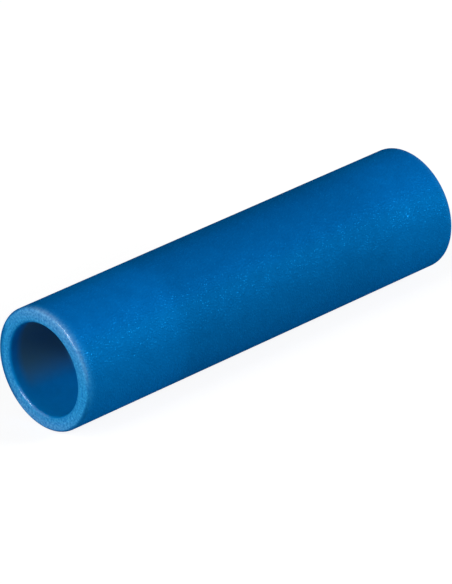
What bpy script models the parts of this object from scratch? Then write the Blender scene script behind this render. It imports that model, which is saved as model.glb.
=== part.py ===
"""Insulated butt splice for two wires: a moulded sleeve, open at both ends, with a crimp barrel held in its middle.

A wire goes in at each end. Its insulation fits the wide entry bore, a funnel leads its bare strands over a lip and
into the barrel, and two dimples pressed into the barrel's middle stop them there. The sleeve lies on its side with
its axis along X, and its centre is the origin. Sizes are in metres.
"""

from math import atan2, cos, pi, radians, sin, tan

import bmesh
import bpy
from mathutils import Matrix, Vector

# Sleeve
SLEEVE_LENGTH = 0.0250
ENTRY_BORE = 0.0048  # takes a wire with its insulation on
SLEEVE_WALL = 0.0008  # at the entry bore
OUTER_EDGE_ROUND = 0.00020
MOUTH_ROUND = 0.00020  # leads the wire in
FUNNEL_LENGTH = 0.0010
FUNNEL_ROUND = 0.0004  # where the entry bore runs into the funnel
LIP_LENGTH = 0.0004
LIP_HEIGHT = 0.0005  # how far the lip stands in over the barrel's end

# Barrel
BARREL_LENGTH = 0.0150
BARREL_BORE = 0.0023
BARREL_WALL = 0.0008
BARREL_EDGE_CHAMFER = 0.00015
BARREL_COUNTERSINK = 0.00028

# Grip grooves inside each half of the barrel
GROOVES_PER_HALF = 3
FIRST_GROOVE = 0.0018  # from the barrel's end to the middle of the first groove
GROOVE_PITCH = 0.0012
GROOVE_WIDTH = 0.00042
GROOVE_FLOOR = 0.00022
GROOVE_DEPTH = 0.00012

# Butted seam along the outside of the rolled barrel
SEAM_WIDTH = 0.00018
SEAM_DEPTH = 0.00012

# Wire stop: two dimples pressed in from opposite sides, above and below
PUNCH_TIP = 0.0008  # diameter of the punch's flat end
PUNCH_TAPER = radians(25)  # half angle of the punch's cone
DIMPLE_DEPTH = 0.00075
STOP_GAP = 0.0010  # left open between the two dimples' inner ends
STOP_WALL = 0.00035  # metal beside the punch's tip

# Clearances between the barrel and the sleeve
SEAT_CLEARANCE = 0.00005  # all round the barrel
END_CLEARANCE = 0.00005  # past each end of the barrel

# Facets
SLEEVE_SIDES = 48
BARREL_SIDES = 48
PUNCH_SIDES = 24
ARC_STEPS = 4
SMOOTH_ANGLE = radians(35)

# Worked out from the sizes above
ENTRY_RADIUS = ENTRY_BORE / 2
SLEEVE_RADIUS = ENTRY_RADIUS + SLEEVE_WALL
SLEEVE_END = SLEEVE_LENGTH / 2
BORE_RADIUS = BARREL_BORE / 2
BARREL_RADIUS = BORE_RADIUS + BARREL_WALL
BARREL_END = BARREL_LENGTH / 2
SEAT_RADIUS = BARREL_RADIUS + SEAT_CLEARANCE
SEAT_END = BARREL_END + END_CLEARANCE
THROAT_RADIUS = SEAT_RADIUS - LIP_HEIGHT
FUNNEL_START = SEAT_END + LIP_LENGTH
FUNNEL_END = FUNNEL_START + FUNNEL_LENGTH


def clear_scene():
    for obj in list(bpy.data.objects):
        bpy.data.objects.remove(obj, do_unlink=True)


def make_material(name, color, roughness, metallic=0.0):
    material = bpy.data.materials.new(name)
    material.use_nodes = True
    shader = material.node_tree.nodes["Principled BSDF"]
    shader.inputs["Base Color"].default_value = (*color, 1.0)
    shader.inputs["Roughness"].default_value = roughness
    shader.inputs["Metallic"].default_value = metallic
    material.diffuse_color = (*color, 1.0)
    return material


def add_object(name, bm, material=None):
    bmesh.ops.recalc_face_normals(bm, faces=bm.faces)
    mesh = bpy.data.meshes.new(name)
    bm.to_mesh(mesh)
    bm.free()
    mesh.shade_smooth()
    mesh.set_sharp_from_angle(angle=SMOOTH_ANGLE)
    if material:
        mesh.materials.append(material)
    obj = bpy.data.objects.new(name, mesh)
    bpy.context.scene.collection.objects.link(obj)
    return obj


def add_boolean(target, operation, other):
    """Joins or cuts target with the helper object other, which is hidden."""
    other.hide_render = True
    other.display_type = "WIRE"
    modifier = target.modifiers.new(other.name, "BOOLEAN")
    modifier.operation = operation
    modifier.object = other


def rounded_corner(before, corner, after, radius):
    """Points of the arc that rounds a corner between two straight lines."""
    to_before = (before - corner).normalized()
    to_after = (after - corner).normalized()
    half_angle = to_before.angle(to_after) / 2
    middle = (to_before + to_after).normalized()
    centre = corner + middle * (radius / sin(half_angle))
    first = corner + to_before * (radius / tan(half_angle)) - centre
    last = corner + to_after * (radius / tan(half_angle)) - centre
    start = atan2(first.y, first.x)
    sweep = atan2(first.cross(last), first.dot(last))
    angles = [start + sweep * step / ARC_STEPS for step in range(ARC_STEPS + 1)]
    return [centre + radius * Vector((cos(angle), sin(angle))) for angle in angles]


def mirrored_outline(corners):
    """Closed outline from the corners of its +X half, given as (along X, distance from the axis, rounding)."""
    both = list(corners) + [(-along, out, rounding) for along, out, rounding in reversed(corners)]
    points = []
    for index, (along, out, rounding) in enumerate(both):
        corner = Vector((along, out))
        if rounding:
            before = Vector(both[index - 1][:2])
            after = Vector(both[(index + 1) % len(both)][:2])
            points += rounded_corner(before, corner, after, rounding)
        else:
            points.append(corner)
    return points


def revolved(outline, sides):
    """Turns a closed outline once round X, with a flat facet lowest so that the piece lies still."""
    half_facet = pi / sides
    bm = bmesh.new()
    verts = [
        bm.verts.new((point.x, point.y * sin(half_facet), -point.y * cos(half_facet)))
        for point in outline
    ]
    for index, vert in enumerate(verts):
        bm.edges.new((verts[index - 1], vert))
    bmesh.ops.spin(
        bm,
        geom=bm.verts[:] + bm.edges[:],
        cent=(0, 0, 0),
        axis=(1, 0, 0),
        angle=2 * pi,
        steps=sides,
        use_merge=True,
    )
    return bm


def build_sleeve(material):
    """The tube's straight outside, and its stepped bore: seat, lip, funnel, entry bore and rounded mouth."""
    edge_round = min(OUTER_EDGE_ROUND, SLEEVE_WALL / 3)
    mouth_round = min(MOUTH_ROUND, SLEEVE_WALL / 2)
    half = [
        (SEAT_END, SEAT_RADIUS, 0),
        (SEAT_END, THROAT_RADIUS, 0),
        (FUNNEL_START, THROAT_RADIUS, 0),
        (FUNNEL_END, ENTRY_RADIUS, FUNNEL_ROUND),
        (SLEEVE_END, ENTRY_RADIUS, mouth_round),
        (SLEEVE_END, SLEEVE_RADIUS, edge_round),
    ]
    return add_object("insulating_sleeve", revolved(mirrored_outline(half), SLEEVE_SIDES), material)


def groove_corners(middle):
    """One grip groove in the barrel's bore, from its inner side to its outer side along X."""
    floor_radius = BORE_RADIUS + GROOVE_DEPTH
    return [
        (middle - GROOVE_WIDTH / 2, BORE_RADIUS, 0),
        (middle - GROOVE_FLOOR / 2, floor_radius, 0),
        (middle + GROOVE_FLOOR / 2, floor_radius, 0),
        (middle + GROOVE_WIDTH / 2, BORE_RADIUS, 0),
    ]


def punch_cones(name, tip_radius, tip_height, base_height):
    """Two cones with flat ends, one above the axis and one below, that point at the barrel's middle."""
    rise = base_height - tip_height
    bm = bmesh.new()
    for turn in (0, pi):
        lift = Matrix.Translation((0, 0, tip_height + rise / 2))
        bmesh.ops.create_cone(
            bm,
            cap_ends=True,
            segments=PUNCH_SIDES,
            radius1=tip_radius,
            radius2=tip_radius + rise * tan(PUNCH_TAPER),
            depth=rise,
            matrix=Matrix.Rotation(turn, 4, "X") @ lift,
        )
    return add_object(name, bm)


def seam_cutter():
    """A wedge along the +Y side of the barrel, longer than the barrel at both ends."""
    facet_out = BARREL_RADIUS * cos(pi / BARREL_SIDES)
    stand_off = SEAM_DEPTH
    half_width = SEAM_WIDTH / 2 * (SEAM_DEPTH + stand_off) / SEAM_DEPTH
    bm = bmesh.new()
    wedge = [
        bm.verts.new((-BARREL_LENGTH, facet_out - SEAM_DEPTH, 0)),
        bm.verts.new((-BARREL_LENGTH, facet_out + stand_off, -half_width)),
        bm.verts.new((-BARREL_LENGTH, facet_out + stand_off, half_width)),
    ]
    face = bm.faces.new(wedge)
    swept = bmesh.ops.extrude_face_region(bm, geom=[face])["geom"]
    moved = [item for item in swept if isinstance(item, bmesh.types.BMVert)]
    bmesh.ops.translate(bm, verts=moved, vec=(2 * BARREL_LENGTH, 0, 0))
    return add_object("seam_cutter", bm)


def build_barrel(material):
    """The rolled tube, chamfered and countersunk, with its grip grooves, its wire stop and its seam."""
    half = []
    for number in reversed(range(GROOVES_PER_HALF)):
        half += groove_corners(BARREL_END - FIRST_GROOVE - number * GROOVE_PITCH)
    half += [
        (BARREL_END - BARREL_COUNTERSINK, BORE_RADIUS, 0),
        (BARREL_END, BORE_RADIUS + BARREL_COUNTERSINK, 0),
        (BARREL_END, BARREL_RADIUS - BARREL_EDGE_CHAMFER, 0),
        (BARREL_END - BARREL_EDGE_CHAMFER, BARREL_RADIUS, 0),
    ]
    barrel = add_object("crimp_barrel", revolved(mirrored_outline(half), BARREL_SIDES), material)

    tip_radius = PUNCH_TIP / 2
    bump_base = BORE_RADIUS + BARREL_WALL / 4  # inside the wall
    bumps = punch_cones("stop_bumps", tip_radius + STOP_WALL, STOP_GAP / 2, bump_base)
    add_boolean(barrel, "UNION", bumps)
    dimple_floor = BARREL_RADIUS - DIMPLE_DEPTH
    past_wall = BARREL_RADIUS + BARREL_WALL / 2
    punches = punch_cones("punch_cutters", tip_radius, dimple_floor, past_wall)
    add_boolean(barrel, "DIFFERENCE", punches)
    add_boolean(barrel, "DIFFERENCE", seam_cutter())
    return barrel


def main():
    clear_scene()
    build_sleeve(make_material("blue_moulded_plastic", (0.001, 0.13, 0.40), roughness=0.45))
    build_barrel(make_material("tinned_copper", (0.74, 0.73, 0.70), roughness=0.32, metallic=1.0))


main()
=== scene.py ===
"""Looks of the insulated butt splice: a grained blue plastic sleeve with a tin-plated crimp barrel inside."""

from math import atan2, cos, hypot, pi, radians, sin, tan

import bmesh
import bpy
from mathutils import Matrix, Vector


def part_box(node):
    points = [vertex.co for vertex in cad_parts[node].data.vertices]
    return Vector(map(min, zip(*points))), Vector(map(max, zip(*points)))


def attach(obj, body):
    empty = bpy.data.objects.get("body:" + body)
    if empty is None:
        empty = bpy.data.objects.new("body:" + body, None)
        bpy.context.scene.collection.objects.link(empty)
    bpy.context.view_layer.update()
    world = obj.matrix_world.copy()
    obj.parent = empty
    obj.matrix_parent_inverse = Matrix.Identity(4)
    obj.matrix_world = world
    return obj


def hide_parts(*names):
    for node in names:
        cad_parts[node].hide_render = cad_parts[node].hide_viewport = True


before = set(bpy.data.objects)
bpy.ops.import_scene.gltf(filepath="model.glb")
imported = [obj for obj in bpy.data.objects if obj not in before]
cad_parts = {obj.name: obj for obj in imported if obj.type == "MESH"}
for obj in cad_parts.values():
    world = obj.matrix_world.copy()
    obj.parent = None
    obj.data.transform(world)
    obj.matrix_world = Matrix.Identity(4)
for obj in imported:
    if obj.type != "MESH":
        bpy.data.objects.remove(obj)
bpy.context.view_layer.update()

BODY = "root"
MM = 0.001

# Sizes read from the frame
SLEEVE_LOW, SLEEVE_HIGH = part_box("insulating_sleeve")
BARREL_LOW, BARREL_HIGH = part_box("crimp_barrel")
SLEEVE_END = SLEEVE_HIGH.x
SLEEVE_RADIUS = SLEEVE_HIGH.z
BARREL_END = BARREL_HIGH.x
BARREL_RADIUS = BARREL_HIGH.z

# Sizes of the stepped bore, as in the solids
ENTRY_RADIUS = 2.4 * MM
EDGE_ROUND = 0.2 * MM
MOUTH_ROUND = 0.2 * MM
FUNNEL_LENGTH = 1.0 * MM
FUNNEL_ROUND = 0.4 * MM
LIP_LENGTH = 0.4 * MM
LIP_HEIGHT = 0.5 * MM
LIP_ROUND = 0.08 * MM
SEAT_CLEARANCE = 0.05 * MM

# Sizes of the barrel, as in the solids
BORE_RADIUS = 1.15 * MM
EDGE_CHAMFER = 0.15 * MM
COUNTERSINK = 0.28 * MM
GROOVES_PER_HALF = 3
FIRST_GROOVE = 1.8 * MM
GROOVE_PITCH = 1.2 * MM
GROOVE_WIDTH = 0.42 * MM
GROOVE_FLOOR = 0.22 * MM
GROOVE_DEPTH = 0.12 * MM
SEAM_HALF_WIDTH = 0.09 * MM
SEAM_DEPTH = 0.12 * MM
SEAM_REACH = 0.9  # of the barrel's radius, past which its +Y side is drawn in
PUNCH_TIP_RADIUS = 0.4 * MM
PUNCH_TAPER = radians(25)
DIMPLE_DEPTH = 0.75 * MM
STOP_HALF_GAP = 0.5 * MM
STOP_WALL = 0.35 * MM

# Mesh fineness
SLEEVE_SIDES = 224
BARREL_SIDES = 144
ARC_STEPS = 7
SLEEVE_SPACING = 0.22 * MM
BARREL_SPACING = 0.14 * MM
SMOOTH_ANGLE = radians(40)

# Masks stored on the sleeve's mesh
SLEEVE_MASKS = (
    "rim",  # frost of the cut ends
    # frost whiteness, with a painted sheen near the top and bottom
    "frost_white_and_sheen",  # how white that frost is
    "edge",  # polished edges
    "skin",  # pebbled outside
    "hollow",  # stretches without the barrel inside
    # painted light: a purer, brighter blue painted along the top
    "painted_top_light",  # purer blue along the top
    "bore",  # smooth lining
    # painted shade and haze: a duller grey-blue on the shaded lining
    "painted_shade_haze",  # grey bloom on the lining
)

# A spread round the tube goes from where a finish is gone to where it is full, in cosines from its middle

# The wall lets some light through, so it is brighter where no barrel lies inside it
HOLLOW_GLOW = 1.2
HOLLOW_BORDERS = (BARREL_LOW.x + 1.5 * MM, BARREL_HIGH.x + 0.6 * MM)
HOLLOW_BLENDS = (0.8 * MM, 1.9 * MM)

# The cut ends are whiter towards their outer edge, and are painted whitest near the top and bottom as a
# painted sheen
CUT_DEPTH = 1.1 * MOUTH_ROUND  # reaches past both rounded edges
SHEEN_SIDE = radians(10)
WHITE_RING = (2.45 * MM, 3.0 * MM)
WHITE_AT_MOUTH = 0.15
MOUTH_FROST = (0.55, 0.97)  # by how far the mouth's rounded edge faces along the tube

# Painted light and shade: the frost reaches the outer edge only along its upper front, where the lamps light
# it, and ends furthest in at the lower back, where the edge lies in shade
FROST_TOP = radians(35)
FROST_TOP_SPREAD = (0.2, 0.6)
SHADED_EDGE_SIDE = radians(258)
SHADED_EDGE_SPREAD = (0.7, 0.92)
FROST_LIMITS = (3.15 * MM, 3.07 * MM, 2.80 * MM)  # at the upper front, elsewhere and at the lower back
FROST_FADE = 0.07 * MM

# A trace of frost lies past that limit on the -X end, and runs a little way along the outside
FRINGE_WIDTH = 0.35 * MM
FRINGE_SHARE = 0.35
FRINGE_OFF_TOP_SHARE = 0.10

# The outer edge is polished along its upper front on the -X end, and the mouths' edges low down
RIDGE_RISE = (0.1, 0.4)  # by how far the rounded edge faces along the tube
RIDGE_FALL = (0.85, 0.999)
POLISHED_SIDE = radians(34)
POLISHED_SPREAD = (0.55, 0.93)
POLISHED_LIP = radians(199)
POLISHED_LIP_SPREAD = (0.84, 0.96)

# Painted light: the outside is painted a purer, brighter blue along its top, standing in for the light that
# falls there
PAINTED_TOP_SIDE = radians(20)
PAINTED_TOP_SPREAD = (0.80, 0.98)

# Painted shade and haze: the back and the roof of the bore, which lie in shade, are painted a duller
# grey-blue away from the mouth
PAINTED_HAZE_MIDDLE = radians(-75)
PAINTED_HAZE_SPREAD = (0.30, 0.92)
PAINTED_HAZE_DEPTHS = (0.3 * MM, 0.9 * MM)

# Colours of the blue plastic
WHITE = (1, 1, 1, 1)
BLUE_DEEP = (0.0003, 0.096, 0.300, 1)
BLUE_BRIGHT = (0.0007, 0.146, 0.433, 1)
# Painted light along the top
PAINTED_TOP_TINT = (1.0, 1.02, 1.12, 1)
# Painted light: the lining is brighter than the outside, standing in for light that comes through the wall
LINING_LIGHT_TINT = (1.2, 1.9, 1.72)
# Painted glints: the grain's peaks are painted this paler blue
PAINTED_GLINT_BLUE = (0.015, 0.27, 0.55, 1)
PAINTED_GLINT_SHARE = 0.25
# Painted shade and haze in the bore
PAINTED_HAZE_GREY = (0.060, 0.185, 0.28, 1)
SHINE_TINT = (0.0, 0.45, 1.0, 1)

# Grain and gloss of the blue plastic
BLUE_PATCH_SCALE = 1400.0
BLUE_FINE_SHARE = 0.75
SKIN_CELL_SCALE = 10000.0
SKIN_FINE_SHARE = 0.5
SKIN_HEIGHT = 0.04 * MM
SKIN_ROUGHNESS = (0.48, 0.27)  # between the peaks and on them
SKIN_METALLIC = (0.08, 0.60)  # elsewhere and on the glints
GLINT_PATCHES = (0.35, 0.62)
GLINT_STRENGTHS = (0.4, 1.0)
POLISH_ROUGHNESS = 0.16

# Frosted cut ends
FROST_SCALE = 8000.0
FROST_FINE_SHARE = 0.6
FROST_SPECKS = (0.35, 0.65)
FROST_BLUE = (0.03, 0.24, 0.59, 1)
FROST_PALE = (0.12, 0.49, 0.83, 1)
BLUER_TINT = (0.34, 0.94, 1.10, 1)
WHITER_TINT = (1.32, 1.08, 1.15, 1)
RING_SCALE = 7000.0
RING_SPREAD = (0.3, 0.7)
RING_TONES = (0.9, 1.1)

# Tin plating
TIN_WARM = (0.70, 0.68, 0.64, 1)
TIN_PALE = (0.80, 0.80, 0.79, 1)
TIN_PATCH_SCALE = 1400.0
TIN_PATCHES = (0.3, 0.7)
TIN_ROUGHNESS = (0.24, 0.38)
TIN_CELL_SCALE = 16000.0
TIN_FINE_SHARE = 0.7
TIN_BUMP = 0.6
TIN_HEIGHT = 0.003 * MM

# Camera, from the perspective of the tube's outline in the photograph
IMAGE_WIDTH = 452
IMAGE_HEIGHT = 584
FOCAL_PIXELS = 5606.0
SENSOR_WIDTH = 36.0
CAMERA_FROM_CENTRE = Vector((-169.753, -176.517, 128.973)) * MM
CAMERA_FORWARD = Vector((0.61244, 0.63794, -0.46685))
CAMERA_CLIP = (0.01, 10)

# Floor and world
FLOOR_HALF_SIZE = 1.5
FLOOR_PAPER = (0.56, 0.56, 0.56, 1)
FLOOR_SHADED = (0.3, 0.3, 0.3, 1)
FLOOR_GLOW = 0.85
WORLD_STRENGTH = 0.06

# Lamps: name, direction from the part's centre, width, height and power
LAMP_DISTANCE = 0.40
LAMPS = (
    ("key_softbox", (0.60, -0.67, 0.43), 0.14, 0.14, 1.02),
    ("side_softbox", (-0.139, -0.986, 0.086), 0.10, 0.10, 0.05),
    ("near_softbox", (-0.70, -0.03, 0.71), 0.20, 0.03, 0.41),
    ("end_softbox", (-0.91, -0.07, 0.40), 0.14, 0.14, 0.47),
)


def link(tree, source, target):
    tree.links.new(source, target)


def add_node(tree, kind, inputs=None, **settings):
    """A shader node with its settings and inputs; an input that is given a socket is linked to it."""
    made = tree.nodes.new(kind)
    for name, value in settings.items():
        setattr(made, name, value)
    for name, value in (inputs or {}).items():
        if isinstance(value, bpy.types.NodeSocket):
            link(tree, value, made.inputs[name])
        else:
            made.inputs[name].default_value = value
    return made


def place_group(tree, group, inputs):
    return add_node(tree, "ShaderNodeGroup", inputs, node_tree=group)


def remapped(tree, value, spread=(0.0, 1.0), results=(0.0, 1.0), kind="LINEAR"):
    """A value brought from one spread to another, and held at its ends."""
    inputs = {
        "Value": value,
        "From Min": spread[0],
        "From Max": spread[1],
        "To Min": results[0],
        "To Max": results[1],
    }
    return add_node(tree, "ShaderNodeMapRange", inputs, interpolation_type=kind).outputs["Result"]


def combined(tree, operation, first, second):
    return add_node(tree, "ShaderNodeMath", {0: first, 1: second}, operation=operation).outputs[0]


def mixed(tree, share, first, second, kind="RGBA"):
    inputs = {"Factor": share, "A": first, "B": second}
    return add_node(tree, "ShaderNodeMix", inputs, data_type=kind).outputs["Result"]


def tinted(tree, colour, tint):
    inputs = {0: colour, 1: tint}
    return add_node(tree, "ShaderNodeVectorMath", inputs, operation="MULTIPLY").outputs["Vector"]


def brightened(tree, colour, strength):
    inputs = {0: colour, "Scale": strength}
    return add_node(tree, "ShaderNodeVectorMath", inputs, operation="SCALE").outputs["Vector"]


def bumped(tree, height, strength, distance):
    inputs = {"Height": height, "Strength": strength, "Distance": distance}
    return add_node(tree, "ShaderNodeBump", inputs).outputs["Normal"]


def new_material(name):
    """A material with its node tree and its shader."""
    material = bpy.data.materials.new(name)
    material.use_nodes = True
    return material, material.node_tree, material.node_tree.nodes["Principled BSDF"]


def new_group(name, inputs, outputs):
    """An empty node group; inputs and outputs are (name, socket kind, default) and (name, socket kind)."""
    tree = bpy.data.node_groups.new(name, "ShaderNodeTree")
    for socket, kind, default in inputs:
        made = tree.interface.new_socket(socket, in_out="INPUT", socket_type=kind)
        if default is not None:
            made.default_value = default
    for socket, kind in outputs:
        tree.interface.new_socket(socket, in_out="OUTPUT", socket_type=kind)
    return tree, tree.nodes.new("NodeGroupInput"), tree.nodes.new("NodeGroupOutput")


def make_grain_group():
    """Pebbled grain of a moulded or plated skin: a height, and where the grain stands highest."""
    tree, given, result = new_group(
        "moulded_grain",
        [
            ("Vector", "NodeSocketVector", None),
            ("Cell Scale", "NodeSocketFloat", 9000.0),
            ("Fine Share", "NodeSocketFloat", 0.4),
        ],
        [("Height", "NodeSocketFloat"), ("Peaks", "NodeSocketFloat")],
    )
    place = given.outputs["Vector"]
    cell_scale = given.outputs["Cell Scale"]
    cells = add_node(
        tree,
        "ShaderNodeTexVoronoi",
        {"Vector": place, "Scale": cell_scale, "Smoothness": 0.6},
        feature="SMOOTH_F1",
    )
    fine_scale = combined(tree, "MULTIPLY", cell_scale, 1.3)
    fine = add_node(tree, "ShaderNodeTexNoise", {"Vector": place, "Scale": fine_scale, "Detail": 2.0})
    domes = combined(tree, "SUBTRACT", 1.0, cells.outputs["Distance"])
    height = mixed(tree, given.outputs["Fine Share"], domes, fine.outputs["Fac"], kind="FLOAT")
    peaks = remapped(tree, height, spread=(0.58, 0.78), kind="SMOOTHSTEP")
    link(tree, height, result.inputs["Height"])
    link(tree, peaks, result.inputs["Peaks"])
    return tree


def make_mottle_group():
    """Slow unevenness of colour over a surface, between two colours."""
    tree, given, result = new_group(
        "mottle",
        [
            ("Vector", "NodeSocketVector", None),
            ("Patch Scale", "NodeSocketFloat", 500.0),
            ("Fine Share", "NodeSocketFloat", 0.5),
            ("Colour A", "NodeSocketColor", (0.5, 0.5, 0.5, 1)),
            ("Colour B", "NodeSocketColor", (0.6, 0.6, 0.6, 1)),
        ],
        [("Colour", "NodeSocketColor"), ("Patch", "NodeSocketFloat")],
    )
    patch = add_node(
        tree,
        "ShaderNodeTexNoise",
        {
            "Vector": given.outputs["Vector"],
            "Scale": given.outputs["Patch Scale"],
            "Detail": 5.0,
            "Roughness": given.outputs["Fine Share"],
        },
    ).outputs["Fac"]
    blend = mixed(tree, patch, given.outputs["Colour A"], given.outputs["Colour B"])
    link(tree, blend, result.inputs["Colour"])
    link(tree, patch, result.inputs["Patch"])
    return tree


def make_frosted_cut(tree, mottle, place, white_and_sheen):
    """Colour of the cut ends: frosted specks on faint rings, whiter where the white-and-sheen mask is high,
    which carries a painted sheen.
    """
    specks = place_group(
        tree, mottle, {"Vector": place, "Patch Scale": FROST_SCALE, "Fine Share": FROST_FINE_SHARE}
    )
    frost = remapped(tree, specks.outputs["Patch"], FROST_SPECKS)
    frosted = mixed(tree, frost, FROST_BLUE, FROST_PALE)
    across = tinted(tree, place, (0, 1, 1))
    radius = add_node(tree, "ShaderNodeVectorMath", {0: across}, operation="LENGTH").outputs["Value"]
    rings = add_node(
        tree,
        "ShaderNodeTexNoise",
        {"W": radius, "Scale": RING_SCALE, "Detail": 2.0},
        noise_dimensions="1D",
    )
    ring_tone = remapped(tree, rings.outputs["Fac"], RING_SPREAD, RING_TONES)
    tint = mixed(tree, white_and_sheen, BLUER_TINT, WHITER_TINT)
    return brightened(tree, tinted(tree, frosted, tint), ring_tone)


def make_blue_plastic(grain, mottle):
    """Semi-matt blue plastic: a pebbled skin, a smooth bore, frosted ends and glossier rounded edges."""
    material, tree, shader = new_material("blue_plastic")
    place = add_node(tree, "ShaderNodeTexCoord").outputs["Object"]
    masks = {
        name: add_node(tree, "ShaderNodeAttribute", attribute_name=name).outputs["Fac"]
        for name in SLEEVE_MASKS
    }

    side = place_group(
        tree,
        mottle,
        {
            "Vector": place,
            "Patch Scale": BLUE_PATCH_SCALE,
            "Fine Share": BLUE_FINE_SHARE,
            "Colour A": BLUE_DEEP,
            "Colour B": BLUE_BRIGHT,
        },
    )
    glow = remapped(tree, masks["hollow"], results=(1.0, HOLLOW_GLOW))
    # Painted light: a purer, brighter blue along the top
    top_light_tint = mixed(tree, masks["painted_top_light"], WHITE, PAINTED_TOP_TINT)
    outer_skin = tinted(tree, brightened(tree, side.outputs["Colour"], glow), top_light_tint)
    # Painted light: the lining is painted brighter, standing in for light that comes through the wall
    lining = tinted(tree, side.outputs["Colour"], LINING_LIGHT_TINT)

    skin = place_group(
        tree, grain, {"Vector": place, "Cell Scale": SKIN_CELL_SCALE, "Fine Share": SKIN_FINE_SHARE}
    )
    glint_strength = remapped(tree, side.outputs["Patch"], GLINT_PATCHES, GLINT_STRENGTHS)
    tops = combined(tree, "MULTIPLY", skin.outputs["Peaks"], masks["skin"])
    glints = combined(tree, "MULTIPLY", tops, glint_strength)

    colour = outer_skin
    for mask, layer in (
        # Painted glints: the grain's peaks are painted a paler blue, besides being more metallic
        (combined(tree, "MULTIPLY", glints, PAINTED_GLINT_SHARE), PAINTED_GLINT_BLUE),
        (masks["bore"], lining),
        (masks["painted_shade_haze"], PAINTED_HAZE_GREY),
        (masks["rim"], make_frosted_cut(tree, mottle, place, masks["frost_white_and_sheen"])),
    ):
        colour = mixed(tree, mask, colour, layer)
    height = combined(tree, "MULTIPLY", skin.outputs["Height"], masks["skin"])

    link(tree, colour, shader.inputs["Base Color"])
    link(tree, remapped(tree, skin.outputs["Peaks"], results=SKIN_ROUGHNESS), shader.inputs["Roughness"])
    link(tree, remapped(tree, glints, results=SKIN_METALLIC), shader.inputs["Metallic"])
    link(tree, bumped(tree, height, 1.0, SKIN_HEIGHT), shader.inputs["Normal"])
    link(tree, masks["edge"], shader.inputs["Coat Weight"])
    shader.inputs["Coat Roughness"].default_value = POLISH_ROUGHNESS
    shader.inputs["Specular Tint"].default_value = SHINE_TINT
    shader.inputs["Specular IOR Level"].default_value = 0.0
    return material


def make_tinned_copper(grain, mottle):
    """Satin tin plating over copper, with a trace of warmth where the plating is thin."""
    material, tree, shader = new_material("tinned_copper")
    place = add_node(tree, "ShaderNodeTexCoord").outputs["Object"]
    tin = place_group(
        tree,
        mottle,
        {"Vector": place, "Patch Scale": TIN_PATCH_SCALE, "Colour A": TIN_WARM, "Colour B": TIN_PALE},
    )
    skin = place_group(
        tree, grain, {"Vector": place, "Cell Scale": TIN_CELL_SCALE, "Fine Share": TIN_FINE_SHARE}
    )
    roughness = remapped(tree, tin.outputs["Patch"], TIN_PATCHES, TIN_ROUGHNESS)
    link(tree, tin.outputs["Colour"], shader.inputs["Base Color"])
    link(tree, roughness, shader.inputs["Roughness"])
    link(tree, bumped(tree, skin.outputs["Height"], TIN_BUMP, TIN_HEIGHT), shader.inputs["Normal"])
    shader.inputs["Metallic"].default_value = 1.0
    return material


def rounded_corner(before, corner, after, radius):
    """Points of the arc that rounds a corner between two straight lines."""
    to_before = (before - corner).normalized()
    to_after = (after - corner).normalized()
    half_angle = to_before.angle(to_after) / 2
    middle = (to_before + to_after).normalized()
    centre = corner + middle * (radius / sin(half_angle))
    first = corner + to_before * (radius / tan(half_angle)) - centre
    last = corner + to_after * (radius / tan(half_angle)) - centre
    start = atan2(first.y, first.x)
    sweep = atan2(first.cross(last), first.dot(last))
    angles = [start + sweep * step / ARC_STEPS for step in range(ARC_STEPS + 1)]
    return [centre + radius * Vector((cos(angle), sin(angle))) for angle in angles]


def mirrored_outline(corners):
    """Closed outline from its +X half's corners, given as (along X, distance from the axis, rounding)."""
    both = list(corners) + [(-along, out, rounding) for along, out, rounding in reversed(corners)]
    points = []
    for index, (along, out, rounding) in enumerate(both):
        corner = Vector((along, out))
        if rounding:
            before = Vector(both[index - 1][:2])
            after = Vector(both[(index + 1) % len(both)][:2])
            points += rounded_corner(before, corner, after, rounding)
        else:
            points.append(corner)
    return points


def turned(outline, sides, spacing):
    """Turns a closed outline once round X, after dividing its long edges to the spacing."""
    bm = bmesh.new()
    verts = [bm.verts.new((point.x, 0, point.y)) for point in outline]
    for index, vert in enumerate(verts):
        bm.edges.new((verts[index - 1], vert))
    for edge in list(bm.edges):
        cuts = int(edge.calc_length() / spacing)
        if cuts:
            bmesh.ops.subdivide_edges(bm, edges=[edge], cuts=cuts)
    bmesh.ops.spin(
        bm,
        geom=bm.verts[:] + bm.edges[:],
        cent=(0, 0, 0),
        axis=(1, 0, 0),
        angle=2 * pi,
        steps=sides,
        use_merge=True,
    )
    bmesh.ops.recalc_face_normals(bm, faces=bm.faces)
    return bm


def finish_piece(name, bm, material, node):
    """Makes the object, replaces the solid that it stands for and lets it ride on the body."""
    mesh = bpy.data.meshes.new(name)
    bm.to_mesh(mesh)
    bm.free()
    mesh.shade_smooth()
    mesh.set_sharp_from_angle(angle=SMOOTH_ANGLE)
    mesh.materials.append(material)
    piece = bpy.data.objects.new(name, mesh)
    bpy.context.scene.collection.objects.link(piece)
    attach(piece, BODY)
    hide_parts(node)


def shape_sleeve():
    """The sleeve's turned form, from the seat of the barrel out to the rounded ends."""
    seat_radius = BARREL_RADIUS + SEAT_CLEARANCE
    seat_end = BARREL_END + SEAT_CLEARANCE
    throat_radius = seat_radius - LIP_HEIGHT
    funnel_start = seat_end + LIP_LENGTH
    half = [
        (seat_end, seat_radius, 0),
        (seat_end, throat_radius, LIP_ROUND),
        (funnel_start, throat_radius, LIP_ROUND),
        (funnel_start + FUNNEL_LENGTH, ENTRY_RADIUS, FUNNEL_ROUND),
        (SLEEVE_END, ENTRY_RADIUS, MOUTH_ROUND),
        (SLEEVE_END, SLEEVE_RADIUS, EDGE_ROUND),
    ]
    return turned(mirrored_outline(half), SLEEVE_SIDES, SLEEVE_SPACING)


def smoothstep(low, high, value):
    share = min(max((value - low) / (high - low), 0.0), 1.0)
    return share * share * (3 - 2 * share)


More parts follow.
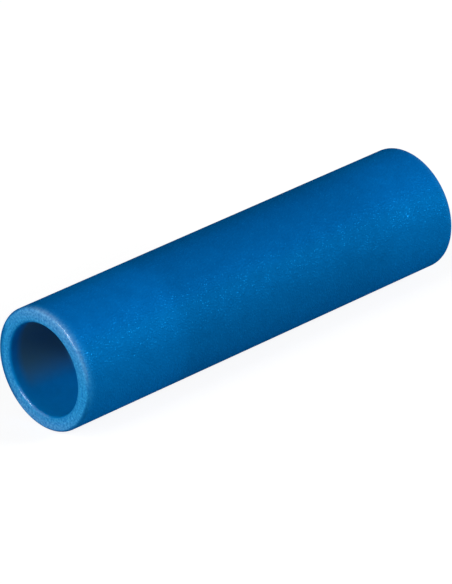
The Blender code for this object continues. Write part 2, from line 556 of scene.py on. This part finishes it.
def share_round(turn, middle, spread):
    """How much of a finish lies at one turn round the tube, when it is centred on another."""
    return smoothstep(*spread, cos(turn - middle))


def frost_shares(turn, radius, near_end):
    """How much of a place on a cut end is frosted, and how much frost is left past the frost's limit."""
    # Painted light and shade: more frost on the lit upper front, less on the shaded lower back
    off_top = 1 - share_round(turn, FROST_TOP, FROST_TOP_SPREAD)
    limit = FROST_LIMITS[0] + (FROST_LIMITS[1] - FROST_LIMITS[0]) * off_top
    limit += (FROST_LIMITS[2] - FROST_LIMITS[1]) * share_round(turn, SHADED_EDGE_SIDE, SHADED_EDGE_SPREAD)
    frosted = 1 - smoothstep(limit - FROST_FADE, limit + FROST_FADE, radius)
    past_limit = FRINGE_SHARE + (FRINGE_OFF_TOP_SHARE - FRINGE_SHARE) * off_top if near_end else 0.0
    return frosted, past_limit


def hollow_share(along):
    """1 where no barrel lies inside the wall and 0 where it does, with soft borders."""
    low, high = HOLLOW_BORDERS
    low_blend, high_blend = HOLLOW_BLENDS
    before = 1 - smoothstep(low - low_blend, low + low_blend, along)
    after = smoothstep(high - high_blend, high + high_blend, along)
    return before + after


def finish_shares(place, facing):
    """How much of each finish lies at a place on the sleeve; facing is how far it faces along the tube."""
    radius = hypot(place.y, place.z)
    outside = radius > (ENTRY_RADIUS + SLEEVE_RADIUS) / 2
    near_end = place.x < 0
    depth = SLEEVE_END - abs(place.x)
    turn = atan2(-place.y, place.z)  # 0 at the top, and a quarter turn on the -Y side
    frosted, past_limit = frost_shares(turn, radius, near_end)
    shares = {
        "skin": smoothstep(0.0, EDGE_ROUND, depth) if outside else 0.0,
        "hollow": hollow_share(place.x),
        # Painted light along the top
        "painted_top_light": share_round(turn, PAINTED_TOP_SIDE, PAINTED_TOP_SPREAD),
        "bore": 0.0 if outside else 1.0,
    }
    if depth < CUT_DEPTH:
        ridge = smoothstep(*RIDGE_RISE, facing) * (1 - smoothstep(*RIDGE_FALL, facing))
        if outside:
            shares["rim"] = past_limit + (1 - past_limit) * frosted
            if near_end:
                shares["edge"] = ridge * share_round(turn, POLISHED_SIDE, POLISHED_SPREAD)
        else:
            shares["rim"] = smoothstep(*MOUTH_FROST, facing)
            shares["edge"] = ridge * share_round(turn, POLISHED_LIP, POLISHED_LIP_SPREAD)
        outward = smoothstep(*WHITE_RING, radius)
        # Painted sheen: the frost is whitest near the top and bottom of each cut end
        painted_sheen = 0.5 + 0.5 * cos(2 * (turn - SHEEN_SIDE))
        shares["frost_white_and_sheen"] = painted_sheen * (WHITE_AT_MOUTH + (1 - WHITE_AT_MOUTH) * outward)
    elif outside:
        shares["rim"] = past_limit * (1 - smoothstep(0.0, FRINGE_WIDTH, depth - EDGE_ROUND))
    if not outside:
        # Painted shade and haze on the shaded back and roof of the bore
        haze_round = share_round(turn, PAINTED_HAZE_MIDDLE, PAINTED_HAZE_SPREAD)
        shares["painted_shade_haze"] = haze_round * smoothstep(*PAINTED_HAZE_DEPTHS, depth)
    return shares


def mark_sleeve(bm):
    """Stores where each finish lies; a mask that a place isn't given stays 0 there."""
    bm.normal_update()
    layers = {name: bm.verts.layers.float.new(name) for name in SLEEVE_MASKS}
    for vert in bm.verts:
        for name, share in finish_shares(vert.co, abs(vert.normal.x)).items():
            vert[layers[name]] = share


def build_sleeve(material):
    bm = shape_sleeve()
    mark_sleeve(bm)
    finish_piece("moulded_sleeve", bm, material, "insulating_sleeve")


def groove_corners(middle):
    """One grip groove in the barrel's bore, from its inner side to its outer side along X."""
    floor_radius = BORE_RADIUS + GROOVE_DEPTH
    return [
        (middle - GROOVE_WIDTH / 2, BORE_RADIUS, 0),
        (middle - GROOVE_FLOOR / 2, floor_radius, 0),
        (middle + GROOVE_FLOOR / 2, floor_radius, 0),
        (middle + GROOVE_WIDTH / 2, BORE_RADIUS, 0),
    ]


def shape_barrel():
    """The barrel's turned form, with its grooves, countersinks and chamfers."""
    half = []
    for number in reversed(range(GROOVES_PER_HALF)):
        half += groove_corners(BARREL_END - FIRST_GROOVE - number * GROOVE_PITCH)
    half += [
        (BARREL_END - COUNTERSINK, BORE_RADIUS, 0),
        (BARREL_END, BORE_RADIUS + COUNTERSINK, 0),
        (BARREL_END, BARREL_RADIUS - EDGE_CHAMFER, 0),
        (BARREL_END - EDGE_CHAMFER, BARREL_RADIUS, 0),
    ]
    return turned(mirrored_outline(half), BARREL_SIDES, BARREL_SPACING)


def press_wire_stop(bm):
    """Presses the wall in from above and below, so that the two dimples' inner ends stop the wires."""
    middle_radius = (BORE_RADIUS + BARREL_RADIUS) / 2
    for vert in bm.verts:
        from_punch = hypot(vert.co.x, vert.co.y)
        side = 1 if vert.co.z > 0 else -1
        radius = hypot(vert.co.y, vert.co.z)
        if radius > middle_radius:
            floor = BARREL_RADIUS - DIMPLE_DEPTH
            tip = PUNCH_TIP_RADIUS
        else:
            floor = STOP_HALF_GAP
            tip = PUNCH_TIP_RADIUS + STOP_WALL
        flank = floor + max(from_punch - tip, 0) / tan(PUNCH_TAPER)
        vert.co.z = side * min(abs(vert.co.z), flank)


def press_seam(bm):
    """Draws the butted seam in along the +Y side."""
    for vert in bm.verts:
        if vert.co.y > BARREL_RADIUS * SEAM_REACH:
            share = max(1 - abs(vert.co.z) / SEAM_HALF_WIDTH, 0)
            vert.co.y -= SEAM_DEPTH * share


def build_barrel(material):
    bm = shape_barrel()
    press_wire_stop(bm)
    press_seam(bm)
    finish_piece("tinned_barrel", bm, material, "crimp_barrel")


def make_camera():
    data = bpy.data.cameras.new("camera")
    data.sensor_width = SENSOR_WIDTH
    data.lens = FOCAL_PIXELS * SENSOR_WIDTH / max(IMAGE_WIDTH, IMAGE_HEIGHT)
    data.clip_start, data.clip_end = CAMERA_CLIP
    camera = bpy.data.objects.new("camera", data)
    camera.location = CAMERA_FROM_CENTRE
    camera.rotation_mode = "QUATERNION"
    camera.rotation_quaternion = CAMERA_FORWARD.to_track_quat("-Z", "Y")
    bpy.context.scene.collection.objects.link(camera)
    bpy.context.scene.camera = camera


def seen_directly(tree):
    """1 where the camera sees a surface straight, in a reflection or through glass, and 0 for other light."""
    path = add_node(tree, "ShaderNodeLightPath")
    either = combined(tree, "MAXIMUM", path.outputs["Is Camera Ray"], path.outputs["Is Glossy Ray"])
    return combined(tree, "MAXIMUM", either, path.outputs["Is Transmission Ray"])


def make_floor():
    """White paper to the eye, that keeps the part's shadow, and grey paper to all other light."""
    material, tree, shader = new_material("pale_floor")
    tree.nodes.remove(shader)
    paper = add_node(tree, "ShaderNodeBsdfDiffuse", {"Color": FLOOR_PAPER})
    shaded = add_node(tree, "ShaderNodeBsdfDiffuse", {"Color": FLOOR_SHADED})
    glow = add_node(tree, "ShaderNodeEmission", {"Color": WHITE, "Strength": FLOOR_GLOW})
    seen = add_node(tree, "ShaderNodeAddShader", {0: shaded.outputs[0], 1: glow.outputs[0]})
    inputs = {0: seen_directly(tree), 1: paper.outputs[0], 2: seen.outputs[0]}
    surface = add_node(tree, "ShaderNodeMixShader", inputs)
    link(tree, surface.outputs[0], tree.nodes["Material Output"].inputs["Surface"])
    bm = bmesh.new()
    bmesh.ops.create_grid(bm, x_segments=1, y_segments=1, size=FLOOR_HALF_SIZE)
    bmesh.ops.translate(bm, verts=bm.verts, vec=(0, 0, SLEEVE_LOW.z))
    mesh = bpy.data.meshes.new("floor")
    bm.to_mesh(mesh)
    bm.free()
    mesh.materials.append(material)
    floor = bpy.data.objects.new("floor", mesh)
    bpy.context.scene.collection.objects.link(floor)


def make_world():
    """White where the camera, gloss or glass sees it, and a dim, even fill for all other light."""
    world = bpy.data.worlds.new("studio")
    bpy.context.scene.world = world
    world.use_nodes = True
    tree = world.node_tree
    background = tree.nodes["Background"]
    background.inputs["Color"].default_value = WHITE
    strength = remapped(tree, seen_directly(tree), results=(WORLD_STRENGTH, 1.0))
    link(tree, strength, background.inputs["Strength"])


def add_softbox(name, direction, width, height, power):
    """An area lamp that faces the part's centre."""
    data = bpy.data.lights.new(name, "AREA")
    data.shape = "RECTANGLE"
    data.size = width
    data.size_y = height
    data.energy = power
    lamp = bpy.data.objects.new(name, data)
    towards = Vector(direction).normalized()
    lamp.location = towards * LAMP_DISTANCE
    lamp.rotation_mode = "QUATERNION"
    lamp.rotation_quaternion = (-towards).to_track_quat("-Z", "Y")
    bpy.context.scene.collection.objects.link(lamp)


def make_lights():
    """A key from beyond the +X end, a low fill at the side, and two that reach into the -X end's bore."""
    for lamp in LAMPS:
        add_softbox(*lamp)


def main():
    make_camera()
    grain = make_grain_group()
    mottle = make_mottle_group()
    build_sleeve(make_blue_plastic(grain, mottle))
    build_barrel(make_tinned_copper(grain, mottle))
    make_floor()
    make_world()
    make_lights()
    bpy.context.scene.view_settings.view_transform = "Standard"


main()
